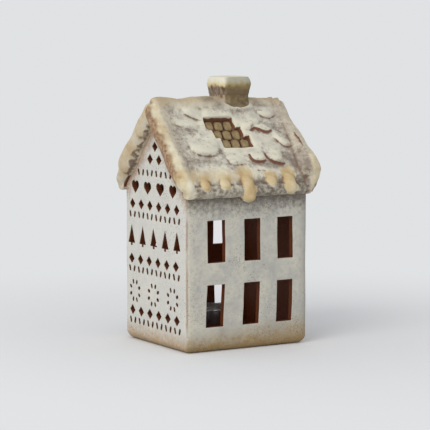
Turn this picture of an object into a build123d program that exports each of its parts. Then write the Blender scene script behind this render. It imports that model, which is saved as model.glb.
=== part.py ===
from build123d import *
import os
from math import asin, atan2, cos, hypot, radians, sin, sqrt, tan

# A tealight house of fired clay: slabs luted into a gabled house, a roof under applied snow, and a
# tealight that is put in through a doorway at the back.
# X runs along the ridge, the window wall faces -Y, the pierced gable faces -X, and Z = 0 is the table.
# All sizes are in millimetres.

# Driving sizes of the walls and the floor
house_length = 94.0
house_depth = 84.0
eave_height = 103.0
wall = 4.5
corner_radius = 3.2
floor_thickness = 6.0
foot_radius = 2.6
foot_land = 0.9
least_radius = 0.5

# Driving sizes of the roof
roof_pitch = 47.5
roof_slab = 5.5
verge_overhang = 1.5
eave_overhang = 4.0

# Window openings, cut by hand: two rows of three, each row with its own shift and lean
window_width = 12.0
window_left_margin = 16.0
window_right_margin = 12.4
window_sill = 16.4
window_head_margin = 16.2
storey_gap = 14.5
upper_row_shift = 0.7
upper_row_lean = -0.4
lower_row_lean = 1.0
rear_window_shift = -2.6
rear_sill_rise = 1.9

# Columns of windows in the front wall: how far each is off its place, and how much wider it is cut
front_columns = ((0.1, 1.5), (1.0, 0.5), (0.15, 0.2))

# Tealight and the doorway it is put in by
tealight_diameter = 38.0
tealight_height = 18.0
cup_wall = 0.4
cup_rim = 0.5
wax_depth = 14.2
tealight_play = 0.1
wick_diameter = 1.6
wick_free_length = 7.0
tab_diameter = 14.0
tab_thickness = 0.4
tab_collar_diameter = 3.6
tab_collar_height = 3.0
door_clearance = 2.5
door_height = 42.0
door_shoulder_radius = 19.0
door_crown = 4.0

# Pierced pattern in the gable
diamond_width = 7.6
diamond_height = 7.3
dash_length = 4.5
dash_width = 2.3
dash_lean = 18.0
tree_width = 9.4
tree_height = 12.6
trunk_width = 2.5
trunk_height = 1.8
heart_lobe_radius = 2.85
heart_lobe_spread = 2.2
heart_height = 8.7
star_radius = 6.5
star_mark_length = 3.3
star_mark_width = 2.2
star_marks = 8
pair_step = 12.0
pair_shift = -0.6
peak_shift = 0.0

# Margins from the gable's edges to the first and last centre of a row
diamond_margin = 11.6
dash_margin = 8.5
tree_margin = 11.0
star_margin = 16.2
heart_margin = 14.6
short_dash_margin = 9.2

# Rows of the pattern: the level, up to the eaves as a share of the eave height and above them as a share of
# the rise, and how far the row is off the middle of the gable
diamond_rows = ((0.199, -1.3), (0.544, -2.4), (0.908, -1.1))
dash_rows = ((0.132, -0.7), (0.476, -1.8), (0.837, -1.2))
tree_row = (0.700, -1.8)
star_row = (0.328, -2.4)
heart_row = (0.043, -1.7)
short_dash_row = (0.272, -1.0)
pair_row = 0.476
peak_row = 0.667

# Snow and tiles
snow_blanket = 4.0
mound_height = 4.4
mound_tilt = 7.0
verge_roll_radius = 6.2
verge_lump_radius = 8.0
verge_lump_rise = 0.6
verge_inset = 0.5
verge_tail = 5.5
verge_lumps = 4
lump_reach = 0.56
eave_roll_radius = 4.6
drip_top = 6.0
drip_stand_off = 4.4
tongue_length = 8.0
tongue_narrowing = 0.3
ridge_roll_radius = 8.0
ridge_rise = 0.6
tile_width = 7.2
tile_length = 7.9
tile_thickness = 2.0
tile_gap = 0.5
tile_corner = 2.4
tile_margin = 1.6
tile_rows = 3
tiles_in_row = 3
front_tile_x = -12.0
tile_chimney_gap = 0.25

# Chimney
chimney_x = 12.8
chimney_y = 3.7
chimney_width = 21.2
chimney_depth = 22.6
chimney_corner = 3.0
chimney_rise = 11.5
cap_overhang = 1.9
cap_corner = 6.5
cap_height = 11.5
cap_shoulder = 4.0
cap_lip = 1.7
cap_band = 1.0

# Drips of snow along the eaves: place as a share of the half length, width, and how far the tip hangs
# below the soffit
drips = (
    (-0.745, 8.6, -3.8),
    (-0.42, 9.6, -4.0),
    (-0.06, 10.8, 5.4),
    (0.31, 9.8, -4.6),
    (0.625, 11.2, 1.0),
)

# Mounds of snow on a slope: place along the ridge as a share of the half length, place of the lower lip
# as a share of the slope, half width and half fall
mounds = (
    (-0.40, 0.18, 12.0, 8.0),
    (-0.09, 0.19, 10.0, 8.0),
    (0.33, 0.28, 7.5, 9.0),
    (0.56, 0.22, 6.5, 7.0),
    (0.73, 0.19, 8.0, 8.0),
    (0.75, 0.54, 7.5, 9.5),
    (0.51, 0.74, 10.5, 14.5),
    (0.29, 0.71, 6.5, 6.0),
    (-0.03, 0.73, 9.5, 7.0),
    (-0.49, 0.63, 12.5, 11.5),
    (-0.70, 0.29, 10.5, 8.0),
    (-0.68, 0.87, 11.0, 9.0),
    (-0.19, 0.90, 12.0, 7.0),
    (0.30, 0.90, 12.0, 7.0),
    (0.72, 0.87, 8.0, 9.0),
)

# Worked out from the sizes above
half_length = house_length / 2
half_depth = house_depth / 2
rise = tan(radians(roof_pitch))
across = cos(radians(roof_pitch))
down = sin(radians(roof_pitch))
ridge_under = eave_height + half_depth * rise
ridge_top = ridge_under + roof_slab / across
eave_reach = half_depth + eave_overhang
eave_lip = ridge_top - eave_reach * rise
slab_half_length = half_length + verge_overhang
slope_length = eave_reach / across
mitre_reach = 2 * wall
inner_length = house_length - 2 * wall
inner_depth = house_depth - 2 * wall
inner_radius = max(corner_radius - wall, least_radius)
chimney_top = ridge_top + chimney_rise

os.makedirs("parts", exist_ok=True)


def slope_plane(facing):
    """Top face of a roof slab: x along the ridge, y up the slope, z out of the roof."""
    return Plane(origin=(0, 0, ridge_top), x_dir=(facing, 0, 0), z_dir=(0, -facing * down, across))


def window_wall_plane(facing):
    """Outer face of a window wall: x along the wall, y up."""
    return Plane(origin=(0, -facing * half_depth, 0), x_dir=(facing, 0, 0), z_dir=(0, -facing, 0))


def gable_plane(facing):
    """Outer face of a gable: x along the wall, y up."""
    return Plane(origin=(-facing * half_length, 0, 0), x_dir=(0, -facing, 0), z_dir=(-facing, 0, 0))


def underside(facing):
    """Underside of a roof slab, with its normal pointing out of the house."""
    return slope_plane(facing).offset(-roof_slab)


# Unit ball of soft clay, pressed into every lump of snow
clay_ball = Sphere(1)

# The whole wedge that the roof slabs close, used to seat the snow and the chimney on the roof
with BuildPart() as roof_wedge:
    with BuildSketch(Plane.YZ.offset(-slab_half_length)):
        Polygon(
            (-eave_reach, eave_height),
            (eave_reach, eave_height),
            (eave_reach, eave_lip),
            (0, ridge_top),
            (-eave_reach, eave_lip),
            align=None,
        )
    extrude(amount=2 * slab_half_length)

# Floor slab with a rounded foot
with BuildPart() as floor_slab:
    with BuildSketch():
        RectangleRounded(house_length, house_depth, corner_radius)
    extrude(amount=floor_thickness)
    foot_edges = floor_slab.edges().group_by(Axis.Z)[0]
    fillet(foot_edges, radius=min(foot_radius, floor_thickness - foot_land, corner_radius - least_radius))
floor_slab.part.label = "floor_slab"
export_step(floor_slab.part, "parts/floor_slab.step")

# Window walls, front and rear: mitred at the corners, with the top cut to the roof slab
window_height = (eave_height - window_sill - window_head_margin - storey_gap) / 2
column_step = (house_length - window_left_margin - window_right_margin - window_width) / 2
first_column = -half_length + window_left_margin + window_width / 2
upper_sill = window_sill + window_height + storey_gap
door_width = tealight_diameter + 2 * door_clearance
door_shoulder = min(door_shoulder_radius, (door_width - door_crown) / 2)
window_edge = first_column + rear_window_shift + (window_width + lower_row_lean) / 2
door_place = (window_edge + half_length - corner_radius) / 2


def leaning_window(i, column, foot, head, row_shift, lean):
    """Corners of a window in a column, with its own place and width and a top that leans sideways."""
    column_shift, widening = column
    middle = first_column + column_step * i + row_shift + column_shift
    half_width = (window_width + widening) / 2
    return [
        (middle - half_width - lean / 2, foot),
        (middle + half_width - lean / 2, foot),
        (middle + half_width + lean / 2, head),
        (middle - half_width + lean / 2, head),
    ]


walls = {}
rear_column = (rear_window_shift, 0)
wall_sides = (
    ("front", 1, front_columns, front_columns, 0),
    ("rear", -1, 3 * (rear_column,), (rear_column,), rear_sill_rise),
)
for side, facing, upper_columns, lower_columns, sill_rise in wall_sides:
    with BuildPart() as window_wall:
        with BuildSketch(Plane.XY.offset(floor_thickness)):
            RectangleRounded(house_length, house_depth, corner_radius)
            RectangleRounded(inner_length, inner_depth, inner_radius, mode=Mode.SUBTRACT)
            Polygon(
                (-facing * (half_length + wall), -facing * (half_depth + wall)),
                (facing * (half_length + wall), -facing * (half_depth + wall)),
                (facing * (half_length - mitre_reach), -facing * (half_depth - mitre_reach)),
                (-facing * (half_length - mitre_reach), -facing * (half_depth - mitre_reach)),
                align=None,
                mode=Mode.INTERSECT,
            )
        extrude(amount=ridge_top)
        split(bisect_by=underside(facing), keep=Keep.BOTTOM)
        with BuildSketch(window_wall_plane(facing)):
            for i, column in enumerate(upper_columns):
                foot = upper_sill + sill_rise
                head = upper_sill + window_height
                Polygon(*leaning_window(i, column, foot, head, upper_row_shift, upper_row_lean), align=None)
            for i, column in enumerate(lower_columns):
                foot = window_sill + sill_rise
                head = window_sill + window_height
                Polygon(*leaning_window(i, column, foot, head, 0, lower_row_lean), align=None)
        extrude(amount=-2 * wall, mode=Mode.SUBTRACT)
        if side == "rear":
            with BuildSketch(window_wall_plane(facing)):
                with Locations((door_place, floor_thickness + door_height / 2)):
                    Rectangle(door_width, door_height)
                fillet(vertices().group_by(Axis.Y)[-1], radius=door_shoulder)
            extrude(amount=-2 * wall, mode=Mode.SUBTRACT)
    walls[side] = window_wall.part
    window_wall.part.label = f"{side}_wall"
    export_step(window_wall.part, f"parts/{side}_wall.step")

# Gables: the left one is pierced in rows of diamonds, dashes, trees, stars and hearts
gable_rise = ridge_under - eave_height
heart_share, heart_shift = heart_row
heart_level = eave_height + heart_share * gable_rise
short_dash_share, short_dash_shift = short_dash_row
short_dash_level = eave_height + short_dash_share * gable_rise
tree_share, tree_shift = tree_row
star_share, star_shift = star_row
pair_level = eave_height + pair_row * gable_rise
peak_level = eave_height + peak_row * gable_rise


def half_width_at(level):
    """Half of the gable's width at a height: full below the eaves, drawn in under the roof."""
    return half_depth - max(level - eave_height, 0) / rise


def row_places(count, level, margin, shift):
    """Centres of the cut-outs in one row, spread between the gable's edges."""
    span = 2 * (half_width_at(level) - margin)
    return [(shift - span / 2 + span * i / (count - 1), level) for i in range(count)]


def leaning_dash(i, place):
    """Place of one upright dash, leaning to the left and to the right by turns."""
    return Location((*place, 0), (0, 0, 90 + dash_lean * (-1) ** i))


diamond_corners = [
    (0, diamond_height / 2),
    (diamond_width / 2, 0),
    (0, -diamond_height / 2),
    (-diamond_width / 2, 0),
]
tree_foot = -tree_height / 2 + trunk_height / 2
tree_corners = [
    (0, tree_foot + tree_height),
    (-tree_width / 2, tree_foot),
    (-trunk_width / 2, tree_foot),
    (-trunk_width / 2, tree_foot - trunk_height),
    (trunk_width / 2, tree_foot - trunk_height),
    (trunk_width / 2, tree_foot),
    (tree_width / 2, tree_foot),
]

# A heart is two round lobes over a point, with straight sides tangent to the lobes
lobe_y = heart_height / 2 - heart_lobe_radius
lobe_from_tip = hypot(heart_lobe_spread, lobe_y + heart_height / 2)
side_length = sqrt(lobe_from_tip**2 - heart_lobe_radius**2)
side_lean = atan2(heart_lobe_spread, lobe_y + heart_height / 2) + asin(heart_lobe_radius / lobe_from_tip)
shoulder_x = side_length * sin(side_lean)
shoulder_y = side_length * cos(side_lean) - heart_height / 2
heart_corners = [(-shoulder_x, shoulder_y), (0, -heart_height / 2), (shoulder_x, shoulder_y), (0, lobe_y)]

for side, facing in (("left", 1), ("right", -1)):
    with BuildPart() as gable:
        with BuildSketch(Plane.XY.offset(floor_thickness)):
            RectangleRounded(house_length, house_depth, corner_radius)
            RectangleRounded(inner_length, inner_depth, inner_radius, mode=Mode.SUBTRACT)
            Polygon(
                (-facing * (half_length + wall), -facing * (half_depth + wall)),
                (-facing * (half_length - mitre_reach), -facing * (half_depth - mitre_reach)),
                (-facing * (half_length - mitre_reach), facing * (half_depth - mitre_reach)),
                (-facing * (half_length + wall), facing * (half_depth + wall)),
                align=None,
                mode=Mode.INTERSECT,
            )
        extrude(amount=ridge_top)
        split(bisect_by=underside(1), keep=Keep.BOTTOM)
        split(bisect_by=underside(-1), keep=Keep.BOTTOM)
        if side == "left":
            with BuildSketch(gable_plane(facing)):
                for share, shift in diamond_rows:
                    with Locations(*row_places(6, share * eave_height, diamond_margin, shift)):
                        Polygon(*diamond_corners, align=None)
                for share, shift in dash_rows:
                    for i, place in enumerate(row_places(12, share * eave_height, dash_margin, shift)):
                        with Locations(leaning_dash(i, place)):
                            SlotOverall(dash_length, dash_width)
                with Locations(*row_places(5, tree_share * eave_height, tree_margin, tree_shift)):
                    Polygon(*tree_corners, align=None)
                for place in row_places(3, star_share * eave_height, star_margin, star_shift):
                    with Locations(place):
                        with PolarLocations(star_radius, star_marks, start_angle=180 / star_marks):
                            SlotOverall(star_mark_length, star_mark_width)
                for place in row_places(4, heart_level, heart_margin, heart_shift):
                    with Locations(place):
                        with Locations((-heart_lobe_spread, lobe_y), (heart_lobe_spread, lobe_y)):
                            Circle(heart_lobe_radius)
                        Polygon(*heart_corners, align=None)
                short_dashes = row_places(8, short_dash_level, short_dash_margin, short_dash_shift)
                for i, place in enumerate(short_dashes):
                    with Locations(leaning_dash(i, place)):
                        SlotOverall(dash_length, dash_width)
                with Locations(
                    (pair_shift - pair_step / 2, pair_level),
                    (pair_shift + pair_step / 2, pair_level),
                    (peak_shift, peak_level),
                ):
                    Polygon(*diamond_corners, align=None)
            extrude(amount=-2 * wall, mode=Mode.SUBTRACT)
    gable.part.label = f"{side}_gable"
    export_step(gable.part, f"parts/{side}_gable.step")

# Roof slabs: mitred against each other at the ridge, with a level soffit at the eaves
for side, facing in (("front", 1), ("rear", -1)):
    with BuildPart() as slab:
        with BuildSketch(Plane.YZ.offset(-slab_half_length)):
            Polygon(
                (-facing * half_depth, eave_height),
                (-facing * eave_reach, eave_height),
                (-facing * eave_reach, eave_lip),
                (0, ridge_top),
                (0, ridge_under),
                align=None,
            )
        extrude(amount=2 * slab_half_length)
    slab.part.label = f"{side}_roof_slab"
    export_step(slab.part, f"parts/{side}_roof_slab.step")

# Chimney stack, notched over the ridge
with BuildPart() as chimney_stack:
    with BuildSketch(Plane.XY.offset(ridge_top - chimney_depth * rise)):
        with Locations((chimney_x, chimney_y)):
            RectangleRounded(chimney_width, chimney_depth, chimney_corner)
    extrude(amount=chimney_top - ridge_top + chimney_depth * rise)
    add(roof_wedge.part, mode=Mode.SUBTRACT)
chimney_stack.part.label = "chimney_stack"
export_step(chimney_stack.part, "parts/chimney_stack.step")

# Cushion of snow on the chimney
with BuildPart() as chimney_snow:
    with BuildSketch(Plane.XY.offset(chimney_top)):
        with Locations((chimney_x, chimney_y)):
            RectangleRounded(chimney_width + 2 * cap_overhang, chimney_depth + 2 * cap_overhang, cap_corner)
    extrude(amount=cap_height)
    lip = min(cap_lip, cap_overhang)
    shoulder = min(cap_shoulder, cap_height - lip - cap_band)
    fillet(chimney_snow.faces().sort_by(Axis.Z)[-1].edges(), radius=shoulder)
    fillet(chimney_snow.faces().sort_by(Axis.Z)[0].edges(), radius=lip)
chimney_snow.part.label = "chimney_snow"
export_step(chimney_snow.part, "parts/chimney_snow.step")

# Rolls of snow on the four verges: a core along the slope with lumps pressed over it
verge_centre = half_length + verge_overhang - verge_inset
verge_lift = verge_roll_radius - roof_slab
verge_end = slope_length - verge_tail
lump_step = verge_end / (verge_lumps - 0.5)
verges = {}
for side, facing in (("front", 1), ("rear", -1)):
    for end, hand in (("left", -1), ("right", 1)):
        slope = slope_plane(facing)
        centre = hand * facing * verge_centre
        roll_start = slope.from_local_coords((centre, 2 * verge_roll_radius, verge_lift))
        with BuildPart() as verge:
            with BuildSketch(Plane(roll_start, z_dir=-slope.y_dir)):
                Circle(verge_roll_radius)
            extrude(amount=verge_end + 2 * verge_roll_radius)
            for i in range(verge_lumps):
                place = Pos(centre, -verge_end + lump_step * i, verge_lift + verge_lump_rise)
                lump_size = (verge_lump_radius, lump_reach * lump_step, verge_lump_radius)
                with Locations(slope.location * place):
                    add(scale(clay_ball, by=lump_size, mode=Mode.PRIVATE))
            add(roof_wedge.part, mode=Mode.SUBTRACT)
            split(bisect_by=Plane.XZ, keep=Keep.TOP if facing == 1 else Keep.BOTTOM)
        verges[end, side] = verge.part
        verge.part.label = f"{end}_{side}_verge_snow"
        export_step(verge.part, f"parts/{end}_{side}_verge_snow.step")

# Roll of snow along the ridge, between the verges and up to the chimney
with BuildPart() as ridge_snow:
    with BuildSketch(Plane.YZ.offset(-half_length)):
        with Locations((0, ridge_top + ridge_rise)):
            Circle(ridge_roll_radius)
    extrude(amount=house_length)
    add(roof_wedge.part, mode=Mode.SUBTRACT)
    add(chimney_stack.part, mode=Mode.SUBTRACT)
    for verge_part in verges.values():
        add(verge_part, mode=Mode.SUBTRACT)
ridge_snow.part.label = "ridge_snow"
export_step(ridge_snow.part, "parts/ridge_snow.step")

# Snow along the eaves: a roll on the edge of the slab, with tongues down the slope that end in drips


def clay_roll(radius, length):
    """Round-ended roll of clay along +Z, from the centre of one end to the centre of the other."""
    with BuildPart() as roll:
        with BuildSketch(Plane.XZ):
            with BuildLine():
                CenterArc((0, 0), radius, -90, 90)
                Line((radius, 0), (radius, length))
                CenterArc((0, length), radius, 0, 90)
                Line((0, length + radius), (0, -radius))
            make_face()
        revolve(axis=Axis.Z)
    return roll.part


def drip_rolls(slope, facing, share, width, hang):
    """The tongue of a drip on the slope and, where the tip hangs lower than the tongue, the drip itself."""
    radius = width / 2
    drip_x = facing * share * half_length
    drip_y = -facing * (half_depth + drip_stand_off)
    tip_centre = eave_height - hang + radius
    root_centre = max(tip_centre, eave_height + drip_top)
    root = slope.to_local_coords(Vector(drip_x, drip_y, root_centre))
    tongue_place = slope.location * Pos(root.X, root.Y, root.Z) * Rot(-90, 0, 0)
    rolls = [tongue_place * clay_roll(radius - tongue_narrowing, tongue_length)]
    if root_centre > tip_centre:
        rolls.append(Pos(drip_x, drip_y, tip_centre) * clay_roll(radius, root_centre - tip_centre))
    return rolls


eaves = {}
for side, facing in (("front", 1), ("rear", -1)):
    slope = slope_plane(facing)
    drip_pieces = [roll for drip in drips for roll in drip_rolls(slope, facing, *drip)]
    with BuildPart() as eave_snow:
        with BuildSketch(Plane.YZ.offset(-verge_centre)):
            with Locations((-facing * eave_reach, eave_height + eave_roll_radius)):
                Circle(eave_roll_radius)
        extrude(amount=2 * verge_centre)
        for roll in drip_pieces:
            add(roll)
        add(roof_wedge.part, mode=Mode.SUBTRACT)
        add(walls[side], mode=Mode.SUBTRACT)
        for end in ("left", "right"):
            add(verges[end, side], mode=Mode.SUBTRACT)
    eaves[side] = eave_snow.part
    eave_snow.part.label = f"{side}_eave_snow"
    export_step(eave_snow.part, f"parts/{side}_eave_snow.step")

# Roof tiles left bare in a patch of three rows, each row half a tile further along than the one above
first_tile_down = (chimney_depth / 2 - chimney_y) / across + tile_chimney_gap + tile_length / 2
rear_tile_x = chimney_width / 2 - chimney_x + tile_margin + tile_width / 2


def tile_centre(first_x, row, column):
    """Place of a tile on its slope."""
    return first_x + tile_width * (column + row / 2), -(first_tile_down + tile_length * row)


for side, facing, first_x in (("front", 1, front_tile_x), ("rear", -1, rear_tile_x)):
    with BuildPart() as tile_patch:
        with BuildSketch(slope_plane(facing)):
            for row in range(tile_rows):
                with Locations(*[tile_centre(first_x, row, column) for column in range(tiles_in_row)]):
                    RectangleRounded(tile_width - tile_gap, tile_length - tile_gap, tile_corner)
        extrude(amount=tile_thickness)
    tile_patch.part.label = f"{side}_roof_tiles"
    export_step(tile_patch.part, f"parts/{side}_roof_tiles.step")

# Snow on the slopes: a blanket with mounds pressed into it, open over the bare tiles
for side, facing, first_x in (("front", 1, front_tile_x), ("rear", -1, rear_tile_x)):
    slope = slope_plane(facing)
    with BuildPart() as snow:
        with BuildSketch(slope):
            with Locations((0, -slope_length / 2)):
                Rectangle(2 * verge_centre, slope_length)
        extrude(amount=snow_blanket)
        for along, lip, half_width, half_fall in mounds:
            mound_place = (along * half_length, half_fall - lip * slope_length, snow_blanket / 2)
            place = Pos(*mound_place) * Rot(mound_tilt, 0, 0)
            with Locations(slope.location * place):
                add(scale(clay_ball, by=(half_width, half_fall, mound_height), mode=Mode.PRIVATE))
        with BuildSketch(slope):
            for row in range(tile_rows):
                with Locations(tile_centre(first_x, row, (tiles_in_row - 1) / 2)):
                    Rectangle(tiles_in_row * tile_width + tile_margin, tile_length + tile_margin)
        extrude(amount=snow_blanket + 2 * mound_height, mode=Mode.SUBTRACT)
        add(roof_wedge.part, mode=Mode.SUBTRACT)
        add(chimney_stack.part, mode=Mode.SUBTRACT)
        add(ridge_snow.part, mode=Mode.SUBTRACT)
        add(eaves[side], mode=Mode.SUBTRACT)
        for end in ("left", "right"):
            add(verges[end, side], mode=Mode.SUBTRACT)
        split(bisect_by=Plane.XZ, keep=Keep.TOP if facing == 1 else Keep.BOTTOM)
    snow.part.label = f"{side}_roof_snow"
    export_step(snow.part, f"parts/{side}_roof_snow.step")

# Tealight: an aluminium cup, a wick in its tab, and the wax cast round them
tealight_centre = (-door_place, 0)
cup_base = floor_thickness
cup_radius = tealight_diameter / 2 - cup_rim
wax_base = cup_base + cup_wall

with BuildPart() as tealight_cup:
    with BuildSketch(Plane.XY.offset(cup_base)):
        with Locations(tealight_centre):
            Circle(cup_radius)
    extrude(amount=tealight_height)
    with BuildSketch(Plane.XY.offset(cup_base + tealight_height - 2 * cup_rim)):
        with Locations(tealight_centre):
            Circle(tealight_diameter / 2)
    extrude(amount=2 * cup_rim)
    with BuildSketch(Plane.XY.offset(wax_base)):
        with Locations(tealight_centre):
            Circle(cup_radius - cup_wall)
    extrude(amount=tealight_height, mode=Mode.SUBTRACT)
tealight_cup.part.label = "tealight_cup"
export_step(tealight_cup.part, "parts/tealight_cup.step")

with BuildPart() as wick_tab:
    with BuildSketch(Plane.XY.offset(wax_base)):
        with Locations(tealight_centre):
            Circle(tab_diameter / 2)
    extrude(amount=tab_thickness)
    with BuildSketch(Plane.XY.offset(wax_base + tab_thickness)):
        with Locations(tealight_centre):
            Circle(tab_collar_diameter / 2)
            Circle(wick_diameter / 2 + tealight_play, mode=Mode.SUBTRACT)
    extrude(amount=tab_collar_height)
wick_tab.part.label = "wick_tab"
export_step(wick_tab.part, "parts/wick_tab.step")

with BuildPart() as tealight_wick:
    with BuildSketch(Plane.XY.offset(wax_base + tab_thickness)):
        with Locations(tealight_centre):
            Circle(wick_diameter / 2)
    extrude(amount=wax_depth - tab_thickness + wick_free_length)
tealight_wick.part.label = "tealight_wick"
export_step(tealight_wick.part, "parts/tealight_wick.step")

with BuildPart() as tealight_wax:
    with BuildSketch(Plane.XY.offset(wax_base)):
        with Locations(tealight_centre):
            Circle(cup_radius - cup_wall - tealight_play)
    extrude(amount=wax_depth)
    with BuildSketch(Plane.XY.offset(wax_base)):
        with Locations(tealight_centre):
            Circle(tab_diameter / 2 + tealight_play)
    extrude(amount=tab_thickness, mode=Mode.SUBTRACT)
    with BuildSketch(Plane.XY.offset(wax_base)):
        with Locations(tealight_centre):
            Circle(tab_collar_diameter / 2 + tealight_play)
    extrude(amount=tab_thickness + tab_collar_height, mode=Mode.SUBTRACT)
    with BuildSketch(Plane.XY.offset(wax_base)):
        with Locations(tealight_centre):
            Circle(wick_diameter / 2 + tealight_play)
    extrude(amount=wax_depth, mode=Mode.SUBTRACT)
tealight_wax.part.label = "tealight_wax"
export_step(tealight_wax.part, "parts/tealight_wax.step")
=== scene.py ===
import math

import bmesh
import bpy
import numpy as np
from mathutils import Matrix, Vector, noise


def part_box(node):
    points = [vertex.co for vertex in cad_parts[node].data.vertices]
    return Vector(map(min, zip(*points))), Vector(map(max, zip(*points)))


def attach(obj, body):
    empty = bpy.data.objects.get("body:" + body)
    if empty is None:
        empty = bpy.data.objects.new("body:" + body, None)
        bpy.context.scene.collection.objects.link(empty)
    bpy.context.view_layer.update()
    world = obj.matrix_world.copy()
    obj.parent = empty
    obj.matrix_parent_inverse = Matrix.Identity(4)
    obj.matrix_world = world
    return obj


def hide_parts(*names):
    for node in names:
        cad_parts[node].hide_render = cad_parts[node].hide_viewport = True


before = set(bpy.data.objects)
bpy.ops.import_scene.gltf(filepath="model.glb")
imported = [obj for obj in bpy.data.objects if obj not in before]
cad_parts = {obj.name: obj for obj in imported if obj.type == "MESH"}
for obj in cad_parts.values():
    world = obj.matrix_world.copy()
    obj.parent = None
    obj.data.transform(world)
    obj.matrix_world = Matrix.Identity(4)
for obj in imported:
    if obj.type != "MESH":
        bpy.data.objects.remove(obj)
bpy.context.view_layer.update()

# Walls and floor: five slabs of red stoneware clay, rolled out, cut by hand and luted at mitred corners.
# The outside is brushed with off-white slip and rubbed back, and the cuts and the inside stay bare clay.
# Lengths are in millimetres, apart from those of the studio, and meshes are made in metres.
MM = 0.001
corner_radius = 3.2
cad_foot_radius = 2.6
foot_radius = 5.5
eased_edge = 0.3
wall_face = 3.0
floor_face = 1.6
sag = 0.36
sag_spacing = 24.0
sag_start = 30.0
fine_sag_share = 0.35
fine_spacing_share = 0.3

# Unevenness by noise vectors starts from the clock unless it is seeded
noise.seed_set(7)


def in_mm(corners):
    """The two corners of a box in millimetres."""
    return [corner / MM for corner in corners]


_, floor_high = in_mm(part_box("floor_slab"))
half_length = floor_high.x
half_depth = floor_high.y
floor_top = floor_high.z
roof_low, roof_high = in_mm(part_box("front_roof_slab"))
eave_height = roof_low.z
ridge_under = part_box("right_gable")[1].z / MM
roof_rise = (ridge_under - eave_height) / half_depth


def linear(hex_colour):
    """Linear RGBA of an sRGB hex colour."""
    channels = [int(hex_colour[i:i + 2], 16) / 255 for i in (1, 3, 5)]
    return (*[c / 12.92 if c <= 0.04045 else ((c + 0.055) / 1.055) ** 2.4 for c in channels], 1)


def put(tree, kind, sockets=(), stops=(), **settings):
    """Adds a node with its settings, a shader node unless its kind says otherwise, and gives its output.

    A socket takes a link, a value or a hex colour, and a colour ramp takes its stops.
    """
    node = tree.nodes.new(kind if "Node" in kind else "ShaderNode" + kind)
    for name, value in settings.items():
        setattr(node, name, value)
    for key, value in dict(sockets).items():
        if isinstance(value, bpy.types.NodeSocket):
            tree.links.new(value, node.inputs[key])
        else:
            node.inputs[key].default_value = linear(value) if isinstance(value, str) else value
    if stops:
        ramp = node.color_ramp.elements
        while len(ramp) < len(stops):
            ramp.new(1.0)
        for element, (spot, colour) in zip(ramp, stops):
            element.position = spot
            element.color = linear(colour)
    return next((output for output in node.outputs if output.enabled), None)


def new_material(name):
    """An empty node material, its tree and its Object coordinates."""
    material = bpy.data.materials.new(name)
    material.use_nodes = True
    tree = material.node_tree
    tree.nodes.clear()
    return material, tree, put(tree, "TexCoord").node.outputs["Object"]


def surface(tree, colour, roughness, height, strength, depth, metallic=0.0):
    """Ends a material in its shader, with a relief whose depth is in millimetres."""
    relief = put(tree, "Bump", {"Height": height, "Strength": strength, "Distance": depth * MM})
    shader = put(
        tree, "BsdfPrincipled",
        {"Base Color": colour, "Roughness": roughness, "Metallic": metallic, "Normal": relief},
    )
    put(tree, "OutputMaterial", {"Surface": shader})


def dress(mesh, material):
    """Gives a whole mesh one material."""
    mesh.materials.clear()
    mesh.materials.append(material)


def stand(name, data):
    """A new object in the scene."""
    thing = bpy.data.objects.new(name, data)
    bpy.context.scene.collection.objects.link(thing)
    return thing


def place(name, mesh, material, body, slot, *nodes):
    """Puts a finished mesh in the scene, on its body and in place of the CAD nodes that it stands for."""
    dress(mesh, material)
    piece = stand(name, mesh)
    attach(piece, body)
    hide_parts(*nodes)


def smooth_mesh(name, form):
    """A smooth-shaded mesh of a form that is ready."""
    mesh = bpy.data.meshes.new(name)
    form.to_mesh(mesh)
    form.free()
    mesh.shade_smooth()
    return mesh


def keep_mark(mesh, name, values):
    """Keeps a number for each point of a mesh, for a material to read."""
    mesh.attributes.new(name, "FLOAT", "POINT").data.foreach_set("value", np.asarray(values, np.float32))


def wall_depth(point):
    """How far a point lies inside the house's outer face, up to the radius of the corners."""
    beyond_x = max(abs(point.x) - half_length + corner_radius, 0)
    beyond_y = max(abs(point.y) - half_depth + corner_radius, 0)
    return corner_radius - math.hypot(beyond_x, beyond_y)


def below_roof(point):
    """How far a point lies below the underside of the roof, straight up."""
    return ridge_under - point.z - roof_rise * abs(point.y)


def on_seam(edge):
    """Whether an edge of a slab lies where it is luted to its neighbours."""
    ends = [vert.co / MM for vert in edge.verts]
    near = 0.05
    return (
        all(abs(p.z - floor_top) < near for p in ends)
        or all(below_roof(p) < near for p in ends)
        or all(abs(half_length - abs(p.x) - half_depth + abs(p.y)) < near for p in ends)
    )


def round_inset(height, radius):
    """How far a foot of a given radius draws in at a height above the table."""
    short = min(max(radius - height, 0), radius)
    return radius - math.sqrt(radius**2 - short**2)


def hand_shaped(point):
    """Where hand work leaves a point of a slab: its foot rubbed round, and its face a little uneven."""
    inset = round_inset(point.z, foot_radius) - round_inset(point.z, cad_foot_radius)
    drawn_in = Vector((point.x * (1 - inset / half_length), point.y * (1 - inset / half_depth), point.z))
    fine = noise.noise_vector(point / (fine_spacing_share * sag_spacing))
    wander = noise.noise_vector(point / sag_spacing) + fine_sag_share * fine
    free = min(max((point.z - floor_top) / (sag_start - floor_top), 0), 1)
    return drawn_in + wander * sag * free * free * (3 - 2 * free)


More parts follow.
